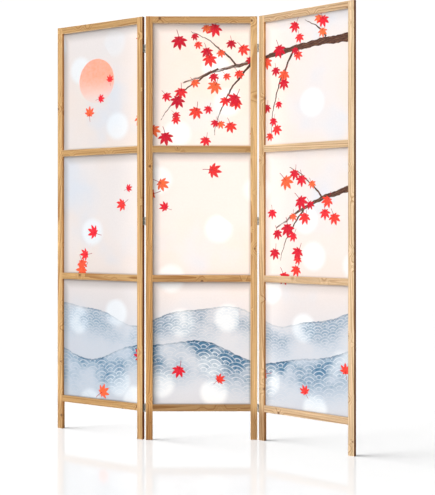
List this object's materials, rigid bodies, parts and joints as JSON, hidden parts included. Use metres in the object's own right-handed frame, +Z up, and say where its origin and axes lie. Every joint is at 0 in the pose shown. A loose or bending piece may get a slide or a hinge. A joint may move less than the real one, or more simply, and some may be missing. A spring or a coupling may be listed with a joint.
{
  "type": "folding screen",
  "caption": "Shoji-type folding room screen: hinged pine frames with stacked openings that hold printed light-passing sheets, standing on the stiles' ends as legs.",
  "frame": {"origin": "on the floor, under the middle of the screen's box as it stands folded in the picture", "axes": "+Z up; -Y is the side that the printed fronts face; +X to the right seen from the front"},
  "size_m": [1.2044, 0.5451, 1.71],
  "materials": {
    "pine_frame": "clear satin varnish on honey pine",
    "pine_bead": "bare planed pine",
    "printed_sheet": "matt nonwoven sheet, printed on the front",
    "hinge_leaf": "satin nickel plate",
    "hinge_pin": "bright drawn steel",
    "hinge_screw": "zinc plate",
    "bead_nail": "bright wire nail"
  },
  "bodies": {
    "centre_panel": {"centre_bead_nails": "bead_nail", "centre_bottom_beads": "pine_bead", "centre_bottom_rail": "pine_frame", "centre_bottom_sheet": "printed_sheet", "centre_hinge_screws": "hinge_screw", "centre_left_stile": "pine_frame", "centre_lower_rail": "pine_frame", "centre_middle_beads": "pine_bead", "centre_middle_sheet": "printed_sheet", "centre_right_stile": "pine_frame", "centre_top_beads": "pine_bead", "centre_top_rail": "pine_frame", "centre_top_sheet": "printed_sheet", "centre_upper_rail": "pine_frame", "left_bottom_hinge_fixed_leaf": "hinge_leaf", "left_bottom_hinge_pin": "hinge_pin", "left_middle_hinge_fixed_leaf": "hinge_leaf", "left_middle_hinge_pin": "hinge_pin", "left_top_hinge_fixed_leaf": "hinge_leaf", "left_top_hinge_pin": "hinge_pin", "right_bottom_hinge_fixed_leaf": "hinge_leaf", "right_bottom_hinge_pin": "hinge_pin", "right_middle_hinge_fixed_leaf": "hinge_leaf", "right_middle_hinge_pin": "hinge_pin", "right_top_hinge_fixed_leaf": "hinge_leaf", "right_top_hinge_pin": "hinge_pin"},
    "left_panel": {"left_bead_nails": "bead_nail", "left_bottom_beads": "pine_bead", "left_bottom_hinge_swing_leaf": "hinge_leaf", "left_bottom_rail": "pine_frame", "left_bottom_sheet": "printed_sheet", "left_hinge_screws": "hinge_screw", "left_left_stile": "pine_frame", "left_lower_rail": "pine_frame", "left_middle_beads": "pine_bead", "left_middle_hinge_swing_leaf": "hinge_leaf", "left_middle_sheet": "printed_sheet", "left_right_stile": "pine_frame", "left_top_beads": "pine_bead", "left_top_hinge_swing_leaf": "hinge_leaf", "left_top_rail": "pine_frame", "left_top_sheet": "printed_sheet", "left_upper_rail": "pine_frame"},
    "right_panel": {"right_bead_nails": "bead_nail", "right_bottom_beads": "pine_bead", "right_bottom_hinge_swing_leaf": "hinge_leaf", "right_bottom_rail": "pine_frame", "right_bottom_sheet": "printed_sheet", "right_hinge_screws": "hinge_screw", "right_left_stile": "pine_frame", "right_lower_rail": "pine_frame", "right_middle_beads": "pine_bead", "right_middle_hinge_swing_leaf": "hinge_leaf", "right_middle_sheet": "printed_sheet", "right_right_stile": "pine_frame", "right_top_beads": "pine_bead", "right_top_hinge_swing_leaf": "hinge_leaf", "right_top_rail": "pine_frame", "right_top_sheet": "printed_sheet", "right_upper_rail": "pine_frame"}
  },
  "joints": [
    {"name": "left_fold", "type": "hinge", "parent": "centre_panel", "child": "left_panel", "pos_m": [-0.21033, 0.03411, 0], "axis": [0, 0, -1], "range_deg": [-32, 148]},
    {"name": "right_fold", "type": "hinge", "parent": "centre_panel", "child": "right_panel", "pos_m": [0.24567, 0.01711, 0], "axis": [0, 0, -1], "range_deg": [-40, 140]}
  ]
}
